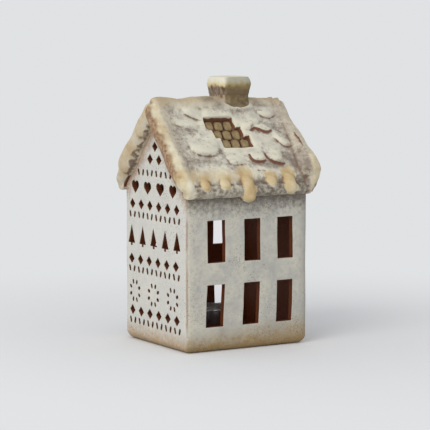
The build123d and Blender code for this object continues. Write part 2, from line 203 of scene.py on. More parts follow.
def clay_slab(node, face_size):
    """A copy of a slab with cut edges eased, faces divided and shaped, and its depth in the wall kept."""
    weld = 0.002
    flat_angle = math.radians(0.5)
    cut_angle = math.radians(50)
    sharp_angle = math.radians(38)
    most_divisions = 7
    is_floor = node == "floor_slab"
    form = bmesh.new()
    form.from_mesh(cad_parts[node].data)
    bmesh.ops.remove_doubles(form, verts=form.verts, dist=weld * MM)
    bmesh.ops.dissolve_limit(form, angle_limit=flat_angle, verts=form.verts, edges=form.edges)
    if not is_floor:
        cut_edges = [
            edge
            for edge in form.edges
            if len(edge.link_faces) == 2 and edge.calc_face_angle() > cut_angle and not on_seam(edge)
        ]
        bmesh.ops.bevel(
            form, geom=cut_edges, offset=eased_edge * MM, segments=2, profile=0.5, affect="EDGES",
            clamp_overlap=False,
        )
    for _ in range(most_divisions):
        bmesh.ops.triangulate(form, faces=form.faces)
        long_edges = [edge for edge in form.edges if edge.calc_length() > face_size * MM]
        if not long_edges:
            break
        bmesh.ops.subdivide_edges(form, edges=long_edges, cuts=1)
    bmesh.ops.triangulate(form, faces=form.faces)
    depths = []
    for vert in form.verts:
        point = vert.co / MM
        may_be_bare = not is_floor or point.z > floor_top - 0.01
        depths.append(wall_depth(point) if may_be_bare else 0.0)
        vert.co = hand_shaped(point) * MM
    mesh = smooth_mesh(node, form)
    # Normals that come with the CAD mesh no longer fit the new faces
    if "custom_normal" in mesh.attributes:
        mesh.attributes.remove(mesh.attributes["custom_normal"])
    keep_mark(mesh, "depth", depths)
    mesh.set_sharp_from_angle(angle=sharp_angle)
    return mesh


# Off-white slip on stoneware: matt, thin and uneven, so grey and cream show through each other, with iron
# specks, an ochre wash at the foot and a brown one under the eaves that also paints the shade there. The
# left gable is painted whiter as painted light. Bare clay is a rough red-brown.
drift_mm = 30.0
cloud_mm = 13.0
grain_mm = 2.4
speck_mm = 1.0
brush_mm = 2.6
fray_mm = 22
worn_end_mm = 9
eave_wash_mm = 16
foot_wash_left_mm = 16
foot_wash_right_mm = 25
slip, tree, coordinates = new_material("slip_washed_stoneware")
axes = put(tree, "SeparateXYZ", {0: coordinates}).node.outputs
normal = put(tree, "SeparateXYZ", {0: coordinates.node.outputs["Normal"]}).node.outputs
drift, clouds, grain, specks, brushed = (
    put(
        tree, "TexNoise",
        {"Vector": coordinates, "Scale": 1 / (size * MM), "Detail": detail, "Roughness": harshness},
    )
    for size, detail, harshness in (
        (drift_mm, 2.0, 0.5), (cloud_mm, 6.0, 0.66), (grain_mm, 5.0, 0.65), (speck_mm, 2.0, 0.6),
        (brush_mm, 6.0, 0.65),
    )
)
coat = put(
    tree, "ValToRGB", {0: clouds},
    stops=[(0.32, "#b2b0a8"), (0.45, "#bebcb2"), (0.57, "#c9c6b8"), (0.74, "#d2cdba")],
)
rubbed = put(tree, "MapRange", {0: grain, 1: 0.46, 2: 0.74, 4: 0.6})
ragged = put(tree, "Math", {0: grain, 1: fray_mm * MM, 2: -fray_mm / 2 * MM}, operation="MULTIPLY_ADD")

# Painted light: the left gable is painted whiter, as the light falls on it. The front is worn to cream at
# its left end, and the right end is greyer
lit_gable_side = put(tree, "MapRange", {0: normal[0], 1: -0.4, 2: -0.95})
painted_gable_light = put(tree, "Math", {0: lit_gable_side, 1: 0.55}, operation="MULTIPLY")
from_left = put(tree, "Math", {0: axes[0], 1: half_length * MM})
worn_reach = put(tree, "Math", {0: from_left, 1: ragged})
worn_corner = put(
    tree, "MapRange", {0: worn_reach, 1: worn_end_mm * MM, 2: 1 * MM, 4: 0.65},
    interpolation_type="SMOOTHSTEP",
)
front_side = put(tree, "MapRange", {0: normal[1], 1: -0.6, 2: -0.95})
worn_front = put(tree, "Math", {0: worn_corner, 1: front_side}, operation="MULTIPLY")
right_end = put(
    tree, "MapRange",
    {0: axes[0], 1: (half_length - worn_end_mm) * MM, 2: half_length * MM, 4: 0.55},
    interpolation_type="SMOOTHSTEP",
)

# A broken brown line down the front left corner, where the mitre was closed
turned = put(tree, "Math", {0: normal[0], 1: normal[1]}, operation="SUBTRACT")
squint = put(tree, "Math", {0: turned}, operation="ABSOLUTE")
outward = put(tree, "Math", {0: normal[0], 1: normal[1]})
near_corner = put(tree, "MapRange", {0: squint, 1: 0.5, 2: 0.1})
front_left = put(tree, "MapRange", {0: outward, 1: -1.2, 2: -1.35})
crack_line = put(tree, "Math", {0: near_corner, 1: front_left}, operation="MULTIPLY")
crack_most = put(tree, "MapRange", {0: drift, 1: 0.42, 2: 0.58, 4: 0.75})
crack = put(tree, "Math", {0: crack_line, 1: crack_most}, operation="MULTIPLY")

# Washes along the eaves and verges and round the foot; the one under the eaves also paints the roof's shade
aside = put(tree, "Math", {0: axes[1]}, operation="ABSOLUTE")
roofline = put(tree, "Math", {0: aside, 1: roof_rise, 2: axes[2]}, operation="MULTIPLY_ADD")
wash_level = put(tree, "Math", {0: roofline, 1: ragged})
# Painted shade: the brown wash under the eaves also stands for the shadow that the roof casts on the walls
eave_wash = put(
    tree, "MapRange",
    {0: wash_level, 1: (ridge_under - eave_wash_mm) * MM, 2: (ridge_under + 0.5) * MM, 4: 0.95},
    interpolation_type="SMOOTHSTEP",
)
foot_level = put(tree, "Math", {0: axes[2], 1: ragged})
foot_reach = put(
    tree, "MapRange",
    {
        0: axes[0], 1: -half_length * MM, 2: half_length * MM, 3: foot_wash_left_mm * MM,
        4: foot_wash_right_mm * MM,
    },
)
foot_wash = put(
    tree, "MapRange", {0: foot_level, 1: foot_reach, 2: 0.0, 4: 0.95},
    interpolation_type="SMOOTHSTEP",
)
# Painted light and shade: both washes are lighter on the lit gable than on the front
eave_colour, foot_colour = (
    put(tree, "Mix", {0: lit_gable_side, 6: on_front, 7: on_gable}, data_type="RGBA")
    for on_front, on_gable in (("#71675c", "#a98f76"), ("#957844", "#ae9068"))
)

# Iron specks, closer together in the washes
washed = put(tree, "Math", {0: eave_wash, 1: foot_wash}, operation="MAXIMUM")
dusted = put(tree, "Math", {0: washed, 1: 0.22, 2: drift}, operation="MULTIPLY_ADD")
speck_start = put(tree, "MapRange", {0: dusted, 1: 0.38, 2: 0.72, 3: 0.72, 4: 0.565})
speck_full = put(tree, "Math", {0: speck_start, 1: 0.05})
speck_share = put(tree, "MapRange", {0: specks, 1: speck_start, 2: speck_full, 4: 0.62})

# Slip worn thin at the edges, and bare clay in the cuts and inside
depth = put(tree, "Attribute", attribute_name="depth").node.outputs["Fac"]
worn_edge = put(tree, "MapRange", {0: depth, 1: 0.02, 2: 0.16, 4: 0.45})
bare = put(tree, "MapRange", {0: depth, 1: 0.18, 2: 0.5}, interpolation_type="SMOOTHSTEP")
cut_clay = put(tree, "ValToRGB", {0: grain}, stops=[(0.3, "#48240f"), (0.55, "#653314"), (0.75, "#78401b")])
inside = put(tree, "MapRange", {0: depth, 1: 2.4, 2: 3.1})
bare_clay = put(tree, "Mix", {0: inside, 6: cut_clay, 7: "#7a3a10"}, data_type="RGBA")
colour = coat
for share, over in (
    (rubbed, "#a19f98"), (painted_gable_light, "#dad9d3"), (worn_front, "#d4cfbd"), (right_end, "#8c8981"),
    (crack, "#9a7f68"), (eave_wash, eave_colour), (foot_wash, foot_colour), (speck_share, "#665140"),
    (worn_edge, "#c9c2ae"), (bare, bare_clay),
):
    colour = put(tree, "Mix", {0: share, 6: colour, 7: over}, data_type="RGBA")
rough = put(tree, "MapRange", {0: grain, 1: 0.3, 2: 0.7, 3: 0.55, 4: 0.75})
surface(tree, colour, rough, height=brushed, strength=0.35, depth=0.5)

place("floor_slab_clay", clay_slab("floor_slab", floor_face), slip, "house", "painted_clay", "floor_slab")
for node in ("front_wall", "rear_wall", "left_gable", "right_gable"):
    place(node + "_clay", clay_slab(node, wall_face), slip, "house", "painted_clay", node)

# Roof slabs: two bare slabs of the same clay, mitred at the ridge and laid on the walls. Only their soffit
# and underside show, below the snow and through the windows.
grit_mm = 4.0

# Bare fired clay: gritty and without shine, an uneven red-brown.
red_clay, tree, coordinates = new_material("bare_fired_clay")
grit = put(tree, "TexNoise", {"Vector": coordinates, "Scale": 1 / (grit_mm * MM), "Detail": 5.0})
clay = put(tree, "ValToRGB", {0: grit}, stops=[(0.3, "#4a2611"), (0.55, "#643418"), (0.75, "#73401d")])
surface(tree, clay, 0.85, height=grit, strength=0.4, depth=0.5)
for node in ("front_roof_slab", "rear_roof_slab"):
    dress(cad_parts[node].data, red_clay)

# Roof tiles: small pillows of clay pressed on in rows, each row half a tile along from the one above.
# They are stained olive-tan and rubbed on the crowns, and the joints keep the dark stain; the lighter crowns
# and darker rims also paint a highlight and shade on each tile.
ridge_top = roof_high.z
roof_pitch = math.atan(roof_rise)
across = math.cos(roof_pitch)
down = math.sin(roof_pitch)
tile_pitch = 7.2
tile_row = 7.9
tile_joint = 0.5
tile_thickness = 2.0
tile_rows = 3
tiles_in_row = 3
tile_tilt = math.radians(8)
tile_bedding = 0.1
tile_sides = 32
tile_rings = 11
tile_square = 3.2
smudge_mm = 3.0


def on_slope(side, x, fall, rise):
    """Points given by their place along the ridge, their fall down the slope and their rise off the slab."""
    x, fall, rise = np.broadcast_arrays(np.asarray(x, float), fall, rise)
    out = fall * across + rise * down
    return np.stack([side * x, -side * out, ridge_top - fall * down + rise * across], axis=-1)


def slope_matrix(side):
    """Matrix from a slope's own axes, along the ridge, up the slope and off the slab, to the house."""
    along_axis = Vector((side, 0, 0))
    up_axis = Vector((0, side * across, down))
    off_axis = Vector((0, -side * down, across))
    turn = Matrix((along_axis, up_axis, off_axis)).transposed().to_4x4()
    return Matrix.Translation((0, 0, ridge_top * MM)) @ turn


def turns(sides):
    """The angles of a ring of points."""
    return np.linspace(0, 2 * math.pi, sides, endpoint=False)


def squared_circle(turn, power):
    """A point on a circle of radius 1 that is pressed towards a square."""
    c, s = math.cos(turn), math.sin(turn)
    reach = (abs(c) ** power + abs(s) ** power) ** (-1 / power)
    return reach * c, reach * s


def tile_pillow():
    """One tile about its own centre: a rounded rectangle in plan, crowned on top, with its crown kept."""
    half_width = (tile_pitch - tile_joint) / 2
    half_row = tile_row / 2
    half_height = tile_thickness / 2
    climbs = np.linspace(-math.pi / 2, math.pi / 2, tile_rings)[1:-1]
    points = [(0, 0, -half_height)]
    for climb in climbs:
        reach = math.cos(climb) ** 0.5
        for turn in turns(tile_sides):
            x, y = squared_circle(turn, tile_square)
            points.append((half_width * reach * x, half_row * reach * y, half_height * math.sin(climb)))
    points.append((0, 0, half_height))
    faces = []
    last = 1 + (len(climbs) - 1) * tile_sides
    for i in range(tile_sides):
        j = (i + 1) % tile_sides
        faces.append((0, 1 + j, 1 + i))
        for a in range(1, last, tile_sides):
            faces.append((a + i, a + j, a + tile_sides + j, a + tile_sides + i))
        faces.append((last + i, last + j, len(points) - 1))
    mesh = bpy.data.meshes.new("tile")
    mesh.from_pydata([Vector(p) * MM for p in points], [], faces)
    keep_mark(mesh, "crown", [p[2] / tile_thickness + 0.5 for p in points])
    mesh.shade_smooth()
    return mesh


# Stained clay: matt, rubbed to tan on the crowns and left nearly black-brown in the joints, which also
# paints a highlight on top of each tile and shade round its rim.
stained, tree, coordinates = new_material("olive_stained_clay_tile")
smudge = put(tree, "TexNoise", {"Vector": coordinates, "Scale": 1 / (smudge_mm * MM), "Detail": 4.0})
# Painted highlight and shade: lighter on each tile's crown, darker round its rim, with the rubbed stain
crown = put(tree, "Attribute", attribute_name="crown").node.outputs["Fac"]
rubbed = put(tree, "Math", {0: smudge, 1: 0.6, 2: crown}, operation="MULTIPLY_ADD")
rub_and_light = put(tree, "MapRange", {0: rubbed, 1: 0.7, 2: 1.45})
stain_and_shade = put(
    tree, "ValToRGB", {0: rub_and_light},
    stops=[(0.1, "#3b2111"), (0.42, "#62492b"), (0.66, "#836d47"), (0.95, "#a6916a")],
)
surface(tree, stain_and_shade, 0.6, height=smudge, strength=0.4, depth=0.5)

rows = bpy.data.node_groups.new("tile_rows", "GeometryNodeTree")
socket_kinds = {
    "Tile": "NodeSocketGeometry", "Along": "NodeSocketFloat", "Fall": "NodeSocketFloat",
    "Tiles": "NodeSocketInt", "Rows": "NodeSocketInt", "Tilt": "NodeSocketFloat", "Seed": "NodeSocketInt",
    "Stain": "NodeSocketMaterial",
}
for name, kind in socket_kinds.items():
    rows.interface.new_socket(name, in_out="INPUT", socket_type=kind)
rows.interface.new_socket("Laid", in_out="OUTPUT", socket_type="NodeSocketGeometry")
inlet = put(rows, "NodeGroupInput").node.outputs
count = put(rows, "Math", {0: inlet["Tiles"], 1: inlet["Rows"]}, operation="MULTIPLY")
line = put(rows, "GeometryNodeMeshLine", {"Count": count, "Offset": (0, 0, 0)}, mode="OFFSET")
index = put(rows, "GeometryNodeInputIndex")
row_share = put(rows, "Math", {0: index, 1: inlet["Tiles"]}, operation="DIVIDE")
row = put(rows, "Math", {0: row_share}, operation="FLOOR")
column = put(rows, "Math", {0: index, 1: inlet["Tiles"]}, operation="MODULO")
shifted = put(rows, "Math", {0: row, 1: 0.5, 2: column}, operation="MULTIPLY_ADD")
spot_x = put(rows, "Math", {0: shifted, 1: inlet["Along"]}, operation="MULTIPLY")
spot_y = put(rows, "Math", {0: row, 1: inlet["Fall"]}, operation="MULTIPLY")
spot = put(rows, "CombineXYZ", {0: spot_x, 1: spot_y})
wander = put(
    rows, "FunctionNodeRandomValue",
    {"Min": (-0.04, -0.05, -0.07), "Max": (0.05, 0.05, 0.07), "Seed": inlet["Seed"]},
    data_type="FLOAT_VECTOR",
)
tilt = put(rows, "CombineXYZ", {0: inlet["Tilt"]})
tipped = put(rows, "VectorMath", {0: wander, 1: tilt})
spots = put(rows, "GeometryNodeSetPosition", {"Geometry": line, "Position": spot})
laid = put(
    rows, "GeometryNodeInstanceOnPoints", {"Points": spots, "Instance": inlet["Tile"], "Rotation": tipped}
)
whole = put(rows, "GeometryNodeRealizeInstances", {0: laid})
dressed = put(rows, "GeometryNodeSetMaterial", {"Geometry": whole, "Material": inlet["Stain"]})
put(rows, "NodeGroupOutput", {0: dressed})


def tile_patch_corner(node, side):
    """Where a patch of tiles starts: its first edge along the ridge and its upper edge down the slope."""
    low, high = in_mm(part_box(node))
    return min(side * low.x, side * high.x), (ridge_top + tile_thickness * across - high.z) / down


def evaluated_mesh(thing):
    """A mesh of an object with its modifiers applied."""
    return bpy.data.meshes.new_from_object(thing.evaluated_get(bpy.context.evaluated_depsgraph_get()))


for node, side, seed in (("front_roof_tiles", 1, 4), ("rear_roof_tiles", -1, 9)):
    first_edge, upper_edge = tile_patch_corner(node, side)
    bed = stand("tile_bed", tile_pillow())
    laying = bed.modifiers.new("rows", "NODES")
    laying.node_group = rows
    values = {
        "Along": tile_pitch * MM, "Fall": -tile_row * MM, "Tiles": tiles_in_row, "Rows": tile_rows,
        "Tilt": tile_tilt, "Seed": seed, "Stain": stained,
    }
    for item in rows.interface.items_tree:
        if item.in_out == "INPUT" and item.name in values:
            laying[item.identifier] = values[item.name]
    tiles = evaluated_mesh(bed)
    bed.modifiers.remove(laying)
    bpy.data.objects.remove(bed)
    first_along = first_edge + (tile_pitch - tile_joint) / 2
    first_tile = (first_along, -(upper_edge + tile_row / 2), tile_thickness / 2 + tile_bedding)
    tiles.transform(slope_matrix(side) @ Matrix.Translation(Vector(first_tile) * MM))
    place(node + "_laid", tiles, stained, "house", "tile_clay", node)

# Snow on the roof: soft clay pressed over the slabs in lapping pats, rolled along the ridge and the verges
# and pulled down over the eaves in tongues. Each slope is one coat once it is worked together and fired.
eave_reach = -roof_low.y
slope_length = eave_reach / across
verge_middle = half_length + 1.0
coat_thickness = 4.6
verge_swell = 1.4
ridge_swell = 2.2
eave_thinning = 2.2
chimney_heap = 1.1
lump_height = 0.8
lump_along = 13
lump_fall = 11
tile_bed_height = 0.5
voxel = 0.58
wet_passes = 7
finger_height = 0.24
ridge_radius = 7.2
eave_radius = 4.3
verge_radius = 6.3
snow_cloud_mm = 9.0
snow_grain_mm = 2.6
stack_low, stack_high = in_mm(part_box("chimney_stack"))
stack_x = (stack_low.x + stack_high.x) / 2
stack_half_x = (stack_high.x - stack_low.x) / 2

# Lower lips of the pats of snow on a slope, from left to right: points as (along the ridge, fall from it),
# then how far the lip stands up, how far the pat reaches back up the slope, and how dark its crease is
lips = (
    (((-30.5, 6.4), (-25.3, 9.8), (-20.6, 12.0), (-16.4, 13.2)), 1.5, 8, 0.55),
    (((-17.3, 13.2), (-8.3, 13.8), (2.6, 12.7), (6.5, 11.8)), 1.7, 8, 0.7),
    (((8.5, 14.5), (12.0, 20.0), (16.0, 21.2), (19.0, 18.2), (25.0, 16.2), (29.0, 12.5)), 1.6, 7, 0.2),
    (((26.6, 8.1), (31.2, 10.9), (35.6, 12.1), (41.3, 10.2)), 1.5, 7, 0.6),
    (((14.8, 23.2), (20.0, 19.6), (23.4, 20.6), (28.9, 23.4), (34.0, 22.0)), 1.0, 4, 1.0),
    (((31.5, 28.6), (35.4, 35.1), (38.4, 37.3), (44.0, 38.1)), 1.6, 9, 0.62),
    (((46.2, 28.0), (47.3, 35.7), (47.0, 43.0)), 0.5, 3, 0.82),
    (((-42, 15.0), (-35.5, 17.5), (-30, 19.5), (-23, 21.0)), 1.5, 8, 0.15),
    (((-36.0, 38.5), (-29.5, 42.3), (-19.9, 42.7), (-13.0, 39.0)), 2.3, 12, 0.55),
    (((-12.4, 40.0), (-11.2, 48.8), (-7.0, 51.0), (2.0, 50.5)), 1.8, 8, 0.5),
    (((7.4, 41.0), (7.8, 46.8), (11.4, 48.9), (16.0, 48.7), (18.4, 46.8)), 2.0, 6, 1.0),
    (((19.3, 40.5), (20.2, 46.0), (22.8, 48.9), (27.5, 50.8), (33.0, 51.4)), 1.9, 8, 0.92),
    (((6.1, 57.0), (9.8, 56.0), (15.4, 57.2)), 0.7, 3, 0.6),
)

# Dabs of grey-brown stain in the hollows, with painted shade below some lips: place along the ridge, fall,
# half width, half fall, strength
dabs = (
    (-8.8, -3.0, 7, 4, 0.9), (-1.5, 2.8, 5, 4.5, 0.75), (14.5, 6.2, 11, 1.8, 0.95), (27.8, 0.5, 5, 5, 0.7),
    (40.3, -3.0, 6, 3, 0.4), (-39.2, 5.1, 4, 7, 0.6), (-30.2, 22.2, 6, 4, 0.95), (-39.6, 22.9, 5, 6, 0.5),
    (-16.1, 19.5, 2.5, 5, 0.7), (-37.7, 41.4, 4, 7, 0.6), (-26.2, 47.5, 11, 4.5, 0.85),
    (-13.9, 39.8, 3, 3, 0.95), (-9.7, 53.0, 5, 4.5, 0.6), (33.6, 19.1, 8, 4, 0.7), (37.6, 25.6, 3.5, 6, 0.7),
    (37.2, 46.8, 4.5, 6, 0.6), (37.4, 55.1, 3.5, 6, 0.8), (-44.9, 41.1, 3, 7, 0.4), (4.5, 52.5, 4, 3, 0.4),
    (13, 51.6, 7, 2.4, 0.6), (27, 53.6, 8, 2.6, 0.65), (43.6, 58.5, 2.6, 5.5, 1.1), (44.5, 46, 3, 8, 0.5),
    (21, 37, 4, 5, 0.35), (-22, 33, 4, 3, 0.35), (-40, 52, 6, 6, 0.45), (36, 3, 8, 2.5, 0.55),
    (34, 44, 5, 5, 0.5), (20, 53, 7, 3, 0.5), (18.6, 44.5, 2, 4, 0.7), (9, 49.5, 4, 2.5, 0.6),
    (24, 51, 6, 2.5, 0.6), (31, 47, 4, 4, 0.4),
)

# Drips over the eaves: place along the ridge, half width, height of the tip, and the fall where each starts
drips = (
    (-35.1, 4.2, 106.7, 58.5), (-20.1, 4.9, 106.6, 58.0), (-2.6, 5.3, 97.8, 54.0), (16.2, 5.0, 107.6, 58.0),
    (29.8, 5.5, 102.3, 55.5),
)

# The roll on each verge, by slope and hand: whether it swells or bulges, how far its end tucks in, how high
# its tip is above the eaves and how far inside them, and its radii towards the tip
verges = {
    (1, -1): (0, 0, 1.4, 0.6, 0.2, (4.7, 3.5, 0.8)),
    (1, 1): (1, 0, 5.0, 4.0, 1.0, (5.0, 4.2, 2.6)),
    (-1, -1): (0, 0, 1.4, 1.8, 1.0, (5.0, 4.2, 2.6)),
    (-1, 1): (0, 1, 2.6, 1.8, 1.0, (4.4, 3.8, 3.0)),
}


def smooth_step(low, high, value):
    """0 before low, 1 past high, eased between."""
    share = np.clip((np.asarray(value, float) - low) / (high - low), 0, 1)
    return share * share * (3 - 2 * share)


def eased_line(points, steps):
    """A smooth line through a few points."""
    points = np.asarray(points, float)
    padded = np.vstack([2 * points[0] - points[1], points, 2 * points[-1] - points[-2]])
    line = []
    for a, b, c, d in zip(padded, padded[1:], padded[2:], padded[3:]):
        for t in np.linspace(0, 1, steps, endpoint=False):
            bend = (2 * a - 5 * b + 4 * c - d) * t**2 + (3 * b - a - 3 * c + d) * t**3
            line.append(0.5 * (2 * b + (c - a) * t + bend))
    line.append(points[-1])
    return np.array(line)


def from_line(line, along, fall):
    """Distance of points to a line on the slope, below it when positive, and their share along it."""
    best = np.full(along.shape, np.inf)
    signed = np.zeros(along.shape)
    share = np.zeros(along.shape)
    runs = line[1:] - line[:-1]
    lengths = np.hypot(runs[:, 0], runs[:, 1])
    starts = np.concatenate([[0], np.cumsum(lengths)])
    for start, run, length, so_far in zip(line, runs, lengths, starts):
        off_x = along - start[0]
        off_f = fall - start[1]
        t = np.clip((off_x * run[0] + off_f * run[1]) / length**2, 0, 1)
        gap = np.hypot(off_x - t * run[0], off_f - t * run[1])
        nearer = gap < best
        best = np.where(nearer, gap, best)
        signed = np.where(nearer, np.sign(run[0] * off_f - run[1] * off_x) * gap, signed)
        share = np.where(nearer, (so_far + t * length) / starts[-1], share)
    return signed, share


lip_lines = [eased_line(points, 5) for points, _, _, _ in lips]


def tile_recess(side, x, fall):
    """1 over the patch of bare tiles, 0 on the snow round it."""
    side_gap = 0.6
    upper_gap = 0.8
    lower_gap = 1.0
    left, upper = tile_patch_corner("front_roof_tiles" if side == 1 else "rear_roof_tiles", side)
    bare = np.zeros(np.shape(x))
    for i in range(tile_rows):
        row_left = left + tile_pitch * i / 2 - side_gap
        row_right = row_left + tile_pitch * tiles_in_row + side_gap
        row_upper = upper + tile_row * i - upper_gap
        row_lower = row_upper + tile_row + lower_gap
        gap_x = np.maximum(row_left - x, x - row_right)
        gap_f = np.maximum(row_upper - fall, fall - row_lower)
        bare = np.maximum(bare, 1 - smooth_step(-0.4, 0.6, np.maximum(gap_x, gap_f)))
    return bare


def coat_height(side, x, fall):
    """Height of the snow off the slab: a coat that swells to the ridge and verges, with lapping pats."""
    lip_round = 1.2
    cleft_width = 1.1
    at_verge = smooth_step(36, 46, np.abs(x))
    height = coat_thickness + verge_swell * at_verge + ridge_swell * (1 - smooth_step(0, 12, fall))
    height -= eave_thinning * smooth_step(59, 66, fall)
    beside_chimney = np.abs(side * x - stack_x) - stack_half_x
    height += chimney_heap * (1 - smooth_step(2, 9, fall)) * (1 - smooth_step(-3, 6, beside_chimney))
    for i, xs in np.ndenumerate(x):
        height[i] += lump_height * noise.noise(Vector((xs / lump_along, fall[i] / lump_fall, 3.0 * side)))
    for (_, stand_up, reach, crease), line in zip(lips, lip_lines):
        order = np.argsort(line[:, 0])
        back = np.interp(x, line[order, 0], line[order, 1]) - fall
        off_middle = 2 * (x - line[:, 0].min()) / np.ptp(line[:, 0]) - 1
        broad = np.clip(1 - off_middle**2, 0, 1) ** 0.7
        behind = np.maximum(back, 0)
        pillow = 1.4 * stand_up * (1 - np.exp(-behind / lip_round)) * np.exp(-((behind / reach) ** 1.5))
        cleft = np.where(back < 0, (0.3 + 0.7 * crease) * np.exp(back / cleft_width), 0)
        height += broad * (pillow - cleft)
    recess = tile_recess(side, x, fall)
    return height * (1 - recess) + tile_bed_height * recess


def add_shell(form, outer, inner):
    """Adds a closed slab between two grids of points to a form."""
    rows, columns = outer.shape[:2]
    tops = [[form.verts.new(Vector(p) * MM) for p in line] for line in outer]
    bases = [[form.verts.new(Vector(p) * MM) for p in line] for line in inner]
    for i in range(rows - 1):
        for j in range(columns - 1):
            form.faces.new((tops[i][j], tops[i][j + 1], tops[i + 1][j + 1], tops[i + 1][j]))
            form.faces.new((bases[i + 1][j], bases[i + 1][j + 1], bases[i][j + 1], bases[i][j]))
    rim = [(i, 0) for i in range(rows)] + [(rows - 1, j) for j in range(1, columns)]
    rim += [(i, columns - 1) for i in range(rows - 2, -1, -1)] + [(0, j) for j in range(columns - 2, 0, -1)]
    for (a, b), (c, d) in zip(rim, rim[1:] + rim[:1]):
        form.faces.new((tops[a][b], tops[c][d], bases[c][d], bases[a][b]))


def add_skin(form, rings, capped=True):
    """Adds a skin over rings of points to a form: capped at both ends, or else joined end to end."""
    rings = [[form.verts.new(Vector(point) * MM) for point in ring] for ring in rings]
    for first, second in zip(rings, rings[1:] if capped else rings[1:] + rings[:1]):
        for i in range(len(first)):
            j = (i + 1) % len(first)
            form.faces.new((first[i], first[j], second[j], second[i]))
    if capped:
        form.faces.new(rings[0][::-1])
        form.faces.new(rings[-1])


def add_roll(form, path, radii, tall=1.0, sides=20):
    """Adds a closed roll of clay along a path to a form, taller than wide where it is pressed so."""
    path = np.asarray(path, float)
    run = np.gradient(path, axis=0)
    run /= np.linalg.norm(run, axis=1)[:, None]
    reference = np.array([1.0, 0, 0]) if abs(run[:, 0]).mean() < 0.7 else np.array([0, 0, 1.0])
    upright = np.cross(run, reference)
    upright /= np.linalg.norm(upright, axis=1)[:, None]
    sideways = np.cross(run, upright)
    radii = np.broadcast_to(radii, len(path))
    rings = [
        [centre + height * math.cos(turn) * a + radius * math.sin(turn) * b for turn in turns(sides)]
        for centre, radius, height, a, b in zip(path, radii, radii * tall, upright, sideways)
    ]
    add_skin(form, rings)


def add_verge(form, side, hand):
    """Adds the roll on one verge, from over the ridge to a tongue that curls in under the eaves."""
    swells, bulges, tuck, tip_rise, tip_inset, ends = verges[side, hand]
    falls = np.linspace(-4, 58, 60)
    swell = smooth_step(10, 50, falls) * swells
    bulge = smooth_step(22, 40, falls) * (1 - smooth_step(54, 59, falls)) * bulges
    lift = 2.9 * swell + 0.4 + 1.2 * smooth_step(40, 54, falls) * swells
    radii = verge_radius + 0.3 * np.sin(falls / 4.6 + 2 * hand * side) + 1.2 * swell + 1.0 * bulge
    radii -= 1.3 * smooth_step(51, 57, falls) * bulges
    tall = 1.04 + 0.1 * swell
    path = [on_slope(side, hand * verge_middle, f, n) for f, n in zip(falls, lift)]
    tongue = [
        on_slope(side, hand * (verge_middle - 0.4), slope_length - 5.0, 0.4 * lift[-1] + 0.4),
        (side * hand * (verge_middle - 0.45 * tuck), -side * (eave_reach + 0.2), eave_height + 5.6),
        (side * hand * (verge_middle - tuck), -side * (eave_reach - tip_inset), eave_height + tip_rise),
    ]
    bend = eased_line([path[-1], *tongue], 8)[1:]
    share = np.linspace(0, 1, len(bend))
    path = np.vstack([path, bend])
    bend_radii = np.interp(share, [0, 0.45, 0.8, 1], [radii[-1], *ends])
    bend_tall = np.interp(share, [0, 0.6, 1], [tall[-1], 1, 1])
    radii[:3] *= (0.45, 0.75, 0.93)
    add_roll(form, path, np.concatenate([radii, bend_radii]), np.concatenate([tall, bend_tall]))


def add_drip(form, side, x, half_width, tip, start):
    """Adds one tongue of snow, from where it swells out of the coat to its round tip."""
    falls = np.array([start, (start + slope_length - 4) / 2, slope_length - 4])
    path = list(on_slope(side, x, falls, np.array([-0.8, 0.0, 0.8])))
    if tip < path[-1][2] - 2:
        path.append((side * x, -side * (eave_reach + 0.4), (path[-1][2] + tip) / 2))
        path.append((side * x, -side * (eave_reach + 0.6), tip))
    path = eased_line(path, 10)
    steps = np.linalg.norm(np.diff(path, axis=0), axis=1)
    to_tip = np.append(np.cumsum(steps[::-1])[::-1], 0) / half_width
    rounded = np.sqrt(np.clip(1 - (1 - np.minimum(to_tip, 1)) ** 2, 0.03, 1))
    swelling = np.interp(np.linspace(0, 1, len(path)), [0, 0.35, 1], [0.4, 0.9, 1])
    add_roll(form, path, half_width * rounded * swelling)


def add_ridge(form):
    """Adds the roll along the ridge, which rises and dips as it was laid."""
    steps = 80
    x = np.linspace(-verge_middle, verge_middle, steps)
    crest = np.interp(
        x, [-48, -44, -38, -30, -24, -17, -6, 20, 34, 44, 48],
        [165.4, 166.9, 166.3, 165.0, 165.4, 166.4, 166.4, 165.4, 164.5, 164.3, 163.2],
    )
    radii = np.full(steps, ridge_radius)
    radii[:2] *= (0.6, 0.9)
    radii[-2:] *= (0.9, 0.6)
    add_roll(form, np.stack([x, np.zeros(steps), crest - ridge_radius], axis=1), radii)


def worked_together(form):
    """One skin over overlapping pieces of clay, smoothed as a wet brush would."""
    bmesh.ops.recalc_face_normals(form, faces=form.faces)
    block = stand("block", smooth_mesh("rough", form))
    remesh = block.modifiers.new("skin", "REMESH")
    remesh.mode = "VOXEL"
    remesh.voxel_size = voxel * MM
    wet = block.modifiers.new("wet", "SMOOTH")
    wet.factor = 0.5
    wet.iterations = wet_passes
    skin = evaluated_mesh(block)
    bpy.data.objects.remove(block)
    return skin


def read_rows(items, name, width, kind=np.float32):
    """One property of all points or edges of a mesh, a row for each."""
    values = np.zeros(width * len(items), kind)
    items.foreach_get(name, values)
    return values.reshape(-1, width)


def skin_points(mesh):
    """Positions in millimetres and normals of a mesh's points."""
    return read_rows(mesh.vertices, "co", 3).astype(float) / MM, read_rows(mesh.vertex_normals, "vector", 3)


def hollow(points, normals, edges, passes):
    """How far each point lies below the smoothed skin, negative where it stands proud."""
    ends = np.concatenate([edges, edges[:, ::-1]])
    count = np.bincount(ends[:, 0], minlength=len(points))
    eased = points.copy()
    for _ in range(passes):
        for k in range(3):
            total = np.bincount(ends[:, 0], weights=eased[ends[:, 1], k], minlength=len(points))
            eased[:, k] = total / count
    return np.einsum("ij,ij->i", eased - points, normals)


